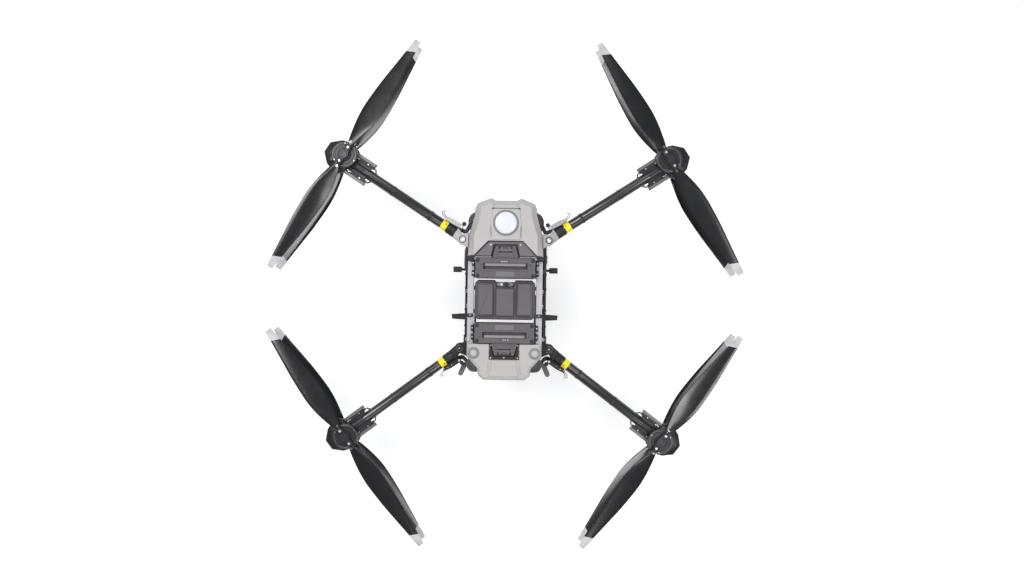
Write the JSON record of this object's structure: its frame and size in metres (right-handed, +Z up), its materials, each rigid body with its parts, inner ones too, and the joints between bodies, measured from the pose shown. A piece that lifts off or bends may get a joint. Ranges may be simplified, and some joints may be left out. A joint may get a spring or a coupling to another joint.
{
  "type": "agricultural spray drone",
  "caption": "Folding coaxial multirotor for crop spraying, with lift-out tank and batteries, skids and latched arms.",
  "frame": {"origin": "on the ground, under the middle of the drone's own box", "axes": "+X to the drone's right, +Y to its nose, +Z up"},
  "size_m": [2.4824, 2.61, 0.7092],
  "materials": {
    "carbon_tube": "satin",
    "black_casting": "matt",
    "rotor_black": "satin",
    "blade_black": "gloss",
    "bright_alloy": "satin",
    "black_tube": "satin",
    "rubber": "matt",
    "grey_cover": "matt",
    "dark_cover": "matt",
    "battery_grey": "matt",
    "tank_grey": "matt",
    "white_dome": "satin",
    "steel": "satin",
    "black_plastic": "matt"
  },
  "bodies": {
    "airframe": {"arm_rests": "black_plastic", "avionics_box": "dark_cover", "battery_decks": "dark_cover", "front_shell": "grey_cover", "hinge_brackets": "black_casting", "landing_gear": "black_tube", "lower_trays": "dark_cover", "main_frame": "bright_alloy", "nav_domes": "white_dome", "nozzle_bodies": "black_plastic", "pins_and_screws": "steel", "pump_unit": "black_plastic", "radio_antennas": "rubber", "rear_shell": "grey_cover", "skid_pads": "rubber", "spray_hoses": "rubber"},
    "arm_fl": {"arm_fl": "carbon_tube", "motor_pod_fl": "black_casting"},
    "arm_fr": {"arm_fr": "carbon_tube", "motor_pod_fr": "black_casting"},
    "arm_rl": {"arm_rl": "carbon_tube", "motor_pod_rl": "black_casting"},
    "arm_rr": {"arm_rr": "carbon_tube", "motor_pod_rr": "black_casting"},
    "battery_front": {"battery_front": "battery_grey"},
    "battery_latch_front": {"battery_latch_front": "black_plastic"},
    "battery_latch_rear": {"battery_latch_rear": "black_plastic"},
    "battery_rear": {"battery_rear": "battery_grey"},
    "blade_bottom_a_fl": {"blade_bottom_a_fl": "blade_black"},
    "blade_bottom_a_fr": {"blade_bottom_a_fr": "blade_black"},
    "blade_bottom_a_rl": {"blade_bottom_a_rl": "blade_black"},
    "blade_bottom_a_rr": {"blade_bottom_a_rr": "blade_black"},
    "blade_bottom_b_fl": {"blade_bottom_b_fl": "blade_black"},
    "blade_bottom_b_fr": {"blade_bottom_b_fr": "blade_black"},
    "blade_bottom_b_rl": {"blade_bottom_b_rl": "blade_black"},
    "blade_bottom_b_rr": {"blade_bottom_b_rr": "blade_black"},
    "blade_top_a_fl": {"blade_top_a_fl": "blade_black"},
    "blade_top_a_fr": {"blade_top_a_fr": "blade_black"},
    "blade_top_a_rl": {"blade_top_a_rl": "blade_black"},
    "blade_top_a_rr": {"blade_top_a_rr": "blade_black"},
    "blade_top_b_fl": {"blade_top_b_fl": "blade_black"},
    "blade_top_b_fr": {"blade_top_b_fr": "blade_black"},
    "blade_top_b_rl": {"blade_top_b_rl": "blade_black"},
    "blade_top_b_rr": {"blade_top_b_rr": "blade_black"},
    "latch_lever_fl": {"latch_lever_fl": "bright_alloy"},
    "latch_lever_fr": {"latch_lever_fr": "bright_alloy"},
    "latch_lever_rl": {"latch_lever_rl": "black_casting"},
    "latch_lever_rr": {"latch_lever_rr": "black_casting"},
    "nozzle_disc_left": {"nozzle_disc_left": "black_plastic"},
    "nozzle_disc_right": {"nozzle_disc_right": "black_plastic"},
    "rotor_hub_bottom_fl": {"rotor_hub_bottom_fl": "rotor_black"},
    "rotor_hub_bottom_fr": {"rotor_hub_bottom_fr": "rotor_black"},
    "rotor_hub_bottom_rl": {"rotor_hub_bottom_rl": "rotor_black"},
    "rotor_hub_bottom_rr": {"rotor_hub_bottom_rr": "rotor_black"},
    "rotor_hub_top_fl": {"rotor_hub_top_fl": "rotor_black"},
    "rotor_hub_top_fr": {"rotor_hub_top_fr": "rotor_black"},
    "rotor_hub_top_rl": {"rotor_hub_top_rl": "rotor_black"},
    "rotor_hub_top_rr": {"rotor_hub_top_rr": "rotor_black"},
    "tank": {"tank": "tank_grey"},
    "tank_cap": {"tank_cap": "black_plastic"}
  },
  "joints": [
    {"name": "arm_fold_fl", "type": "hinge", "parent": "airframe", "child": "arm_fl", "pos_m": [-0.221, 0.29417, 0.596], "axis": [0, 0, 1], "range_deg": [0, 119]},
    {"name": "arm_fold_fr", "type": "hinge", "parent": "airframe", "child": "arm_fr", "pos_m": [0.221, 0.29417, 0.596], "axis": [0, 0, -1], "range_deg": [0, 119]},
    {"name": "arm_fold_rl", "type": "hinge", "parent": "airframe", "child": "arm_rl", "pos_m": [-0.234, -0.26983, 0.45], "axis": [0, 0, -1], "range_deg": [0, 122]},
    {"name": "arm_fold_rr", "type": "hinge", "parent": "airframe", "child": "arm_rr", "pos_m": [0.234, -0.26983, 0.45], "axis": [0, 0, 1], "range_deg": [0, 122]},
    {"name": "battery_lift_front", "type": "slide", "parent": "airframe", "child": "battery_front", "axis": [0, 0, 1], "range_m": [0, 0.25]},
    {"name": "battery_lift_rear", "type": "slide", "parent": "airframe", "child": "battery_rear", "axis": [0, 0, 1], "range_m": [0, 0.25]},
    {"name": "battery_latch_front_turn", "type": "hinge", "parent": "battery_front", "child": "battery_latch_front", "pos_m": [0, 0.23817, 0.66], "axis": [1, 0, 0], "range_deg": [0, 45], "stiffness_Nm_per_rad": 0.05},
    {"name": "battery_latch_rear_turn", "type": "hinge", "parent": "battery_rear", "child": "battery_latch_rear", "pos_m": [0, -0.27283, 0.646], "axis": [-1, 0, 0], "range_deg": [0, 45], "stiffness_Nm_per_rad": 0.05},
    {"name": "tank_lift", "type": "slide", "parent": "airframe", "child": "tank", "axis": [0, 0, 1], "range_m": [0, 0.4]},
    {"name": "tank_cap_lift", "type": "slide", "parent": "tank", "child": "tank_cap", "axis": [0, 0, 1], "range_m": [0, 0.05]},
    {"name": "nozzle_spin_left", "type": "hinge", "parent": "airframe", "child": "nozzle_disc_left", "pos_m": [-0.13, -0.33083, 0.155], "axis": [0, 0, 1], "continuous": true},
    {"name": "nozzle_spin_right", "type": "hinge", "parent": "airframe", "child": "nozzle_disc_right", "pos_m": [0.13, -0.33083, 0.155], "axis": [0, 0, 1], "continuous": true},
    {"name": "latch_open_fl", "type": "hinge", "parent": "arm_fl", "child": "latch_lever_fl", "pos_m": [-0.22743, 0.35788, 0.612], "axis": [0, 0, -1], "range_deg": [0, 60]},
    {"name": "rotor_spin_top_fl", "type": "hinge", "parent": "arm_fl", "child": "rotor_hub_top_fl", "pos_m": [-0.8262, 0.71368, 0.686], "axis": [0, 0, 1], "continuous": true},
    {"name": "blade_fold_top_a_fl", "type": "hinge", "parent": "rotor_hub_top_fl", "child": "blade_top_a_fl", "pos_m": [-0.80447, 0.74726, 0.686], "axis": [0, 0, -1], "range_deg": [0, 80]},
    {"name": "blade_fold_top_b_fl", "type": "hinge", "parent": "rotor_hub_top_fl", "child": "blade_top_b_fl", "pos_m": [-0.84792, 0.68009, 0.686], "axis": [0, 0, 1], "range_deg": [0, 80]},
    {"name": "rotor_spin_bottom_fl", "type": "hinge", "parent": "arm_fl", "child": "rotor_hub_bottom_fl", "pos_m": [-0.8262, 0.71368, 0.506], "axis": [0, 0, 1], "continuous": true},
    {"name": "blade_fold_bottom_a_fl", "type": "hinge", "parent": "rotor_hub_bottom_fl", "child": "blade_bottom_a_fl", "pos_m": [-0.80536, 0.74782, 0.506], "axis": [0, 0, -1], "range_deg": [0, 80]},
    {"name": "blade_fold_bottom_b_fl", "type": "hinge", "parent": "rotor_hub_bottom_fl", "child": "blade_bottom_b_fl", "pos_m": [-0.84704, 0.67954, 0.506], "axis": [0, 0, 1], "range_deg": [0, 80]},
    {"name": "latch_open_fr", "type": "hinge", "parent": "arm_fr", "child": "latch_lever_fr", "pos_m": [0.22743, 0.35788, 0.612], "axis": [0, 0, 1], "range_deg": [0, 60]},
    {"name": "rotor_spin_top_fr", "type": "hinge", "parent": "arm_fr", "child": "rotor_hub_top_fr", "pos_m": [0.8262, 0.71368, 0.686], "axis": [0, 0, 1], "continuous": true},
    {"name": "blade_fold_top_a_fr", "type": "hinge", "parent": "rotor_hub_top_fr", "child": "blade_top_a_fr", "pos_m": [0.80447, 0.74726, 0.686], "axis": [0, 0, 1], "range_deg": [0, 80]},
    {"name": "blade_fold_top_b_fr", "type": "hinge", "parent": "rotor_hub_top_fr", "child": "blade_top_b_fr", "pos_m": [0.84792, 0.68009, 0.686], "axis": [0, 0, -1], "range_deg": [0, 80]},
    {"name": "rotor_spin_bottom_fr", "type": "hinge", "parent": "arm_fr", "child": "rotor_hub_bottom_fr", "pos_m": [0.8262, 0.71368, 0.506], "axis": [0, 0, 1], "continuous": true},
    {"name": "blade_fold_bottom_a_fr", "type": "hinge", "parent": "rotor_hub_bottom_fr", "child": "blade_bottom_a_fr", "pos_m": [0.80536, 0.74782, 0.506], "axis": [0, 0, 1], "range_deg": [0, 80]},
    {"name": "blade_fold_bottom_b_fr", "type": "hinge", "parent": "rotor_hub_bottom_fr", "child": "blade_bottom_b_fr", "pos_m": [0.84704, 0.67954, 0.506], "axis": [0, 0, -1], "range_deg": [0, 80]},
    {"name": "latch_open_rl", "type": "hinge", "parent": "arm_rl", "child": "latch_lever_rl", "pos_m": [-0.23602, -0.33383, 0.466], "axis": [0, 0, 1], "range_deg": [0, 60]},
    {"name": "rotor_spin_top_rl", "type": "hinge", "parent": "arm_rl", "child": "rotor_hub_top_rl", "pos_m": [-0.82086, -0.73903, 0.54], "axis": [0, 0, 1], "continuous": true},
    {"name": "blade_fold_top_a_rl", "type": "hinge", "parent": "rotor_hub_top_rl", "child": "blade_top_a_rl", "pos_m": [-0.79687, -0.77104, 0.54], "axis": [0, 0, 1], "range_deg": [0, 80]},
    {"name": "blade_fold_top_b_rl", "type": "hinge", "parent": "rotor_hub_top_rl", "child": "blade_top_b_rl", "pos_m": [-0.84485, -0.70702, 0.54], "axis": [0, 0, -1], "range_deg": [0, 80]},
    {"name": "rotor_spin_bottom_rl", "type": "hinge", "parent": "arm_rl", "child": "rotor_hub_bottom_rl", "pos_m": [-0.82086, -0.73903, 0.36], "axis": [0, 0, 1], "continuous": true},
    {"name": "blade_fold_bottom_a_rl", "type": "hinge", "parent": "rotor_hub_bottom_rl", "child": "blade_bottom_a_rl", "pos_m": [-0.79772, -0.77165, 0.36], "axis": [0, 0, 1], "range_deg": [0, 80]},
    {"name": "blade_fold_bottom_b_rl", "type": "hinge", "parent": "rotor_hub_bottom_rl", "child": "blade_bottom_b_rl", "pos_m": [-0.84401, -0.7064, 0.36], "axis": [0, 0, -1], "range_deg": [0, 80]},
    {"name": "latch_open_rr", "type": "hinge", "parent": "arm_rr", "child": "latch_lever_rr", "pos_m": [0.23602, -0.33383, 0.466], "axis": [0, 0, -1], "range_deg": [0, 60]},
    {"name": "rotor_spin_top_rr", "type": "hinge", "parent": "arm_rr", "child": "rotor_hub_top_rr", "pos_m": [0.82086, -0.73903, 0.54], "axis": [0, 0, 1], "continuous": true},
    {"name": "blade_fold_top_a_rr", "type": "hinge", "parent": "rotor_hub_top_rr", "child": "blade_top_a_rr", "pos_m": [0.79687, -0.77104, 0.54], "axis": [0, 0, -1], "range_deg": [0, 80]},
    {"name": "blade_fold_top_b_rr", "type": "hinge", "parent": "rotor_hub_top_rr", "child": "blade_top_b_rr", "pos_m": [0.84485, -0.70702, 0.54], "axis": [0, 0, 1], "range_deg": [0, 80]},
    {"name": "rotor_spin_bottom_rr", "type": "hinge", "parent": "arm_rr", "child": "rotor_hub_bottom_rr", "pos_m": [0.82086, -0.73903, 0.36], "axis": [0, 0, 1], "continuous": true},
    {"name": "blade_fold_bottom_a_rr", "type": "hinge", "parent": "rotor_hub_bottom_rr", "child": "blade_bottom_a_rr", "pos_m": [0.79772, -0.77165, 0.36], "axis": [0, 0, -1], "range_deg": [0, 80]},
    {"name": "blade_fold_bottom_b_rr", "type": "hinge", "parent": "rotor_hub_bottom_rr", "child": "blade_bottom_b_rr", "pos_m": [0.84401, -0.7064, 0.36], "axis": [0, 0, 1], "range_deg": [0, 80]}
  ]
}
